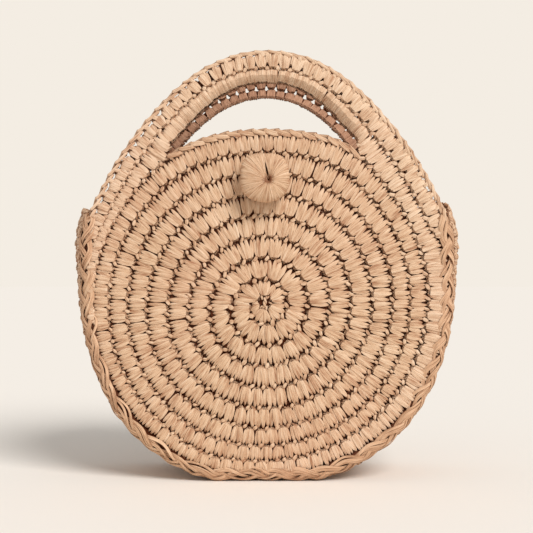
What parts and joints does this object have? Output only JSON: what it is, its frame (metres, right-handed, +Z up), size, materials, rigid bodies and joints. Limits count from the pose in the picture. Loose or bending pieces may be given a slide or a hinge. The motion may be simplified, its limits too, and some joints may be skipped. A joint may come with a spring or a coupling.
{
  "type": "circle bag",
  "caption": "Round crocheted raffia hand bag with spiral panels, arched cut-out handles, a side strip and a wrapped button.",
  "frame": {"origin": "middle of the flat base, on the ground, halfway between the two panels", "axes": "+Z up, the front with the button faces -Y, +X to the right seen from the front"},
  "size_m": [0.262, 0.1049, 0.2955],
  "materials": {
    "raffia": "dry crocheted raffia",
    "lacing_raffia": "plaited raffia",
    "thread": "twisted raffia thread",
    "core_wood": "plain turned wood, covered"
  },
  "bodies": {
    "bag_body": {"front_panel": "raffia", "back_panel": "raffia", "gusset": "raffia", "front_lacing": "lacing_raffia", "back_lacing": "lacing_raffia"},
    "front_top": {"front_flap": "raffia", "front_handle": "raffia", "button_shank": "thread"},
    "back_top": {"back_flap": "raffia", "back_handle": "raffia"},
    "button": {"button_core": "core_wood", "button_cover": "raffia"}
  },
  "joints": [
    {"name": "front_top_swing", "type": "hinge", "parent": "bag_body", "child": "front_top", "pos_m": [0, -0.039, 0.1875], "axis": [1, 0, 0], "range_deg": [-18, 35], "stiffness_Nm_per_rad": 0.6},
    {"name": "back_top_swing", "type": "hinge", "parent": "bag_body", "child": "back_top", "pos_m": [0, 0.039, 0.1875], "axis": [-1, 0, 0], "range_deg": [-18, 35], "stiffness_Nm_per_rad": 0.6},
    {"name": "button_tilt", "type": "hinge", "parent": "front_top", "child": "button", "pos_m": [-0.0015, -0.0454, 0.2087], "axis": [1, 0, 0], "range_deg": [-8, 8], "stiffness_Nm_per_rad": 0.06}
  ]
}
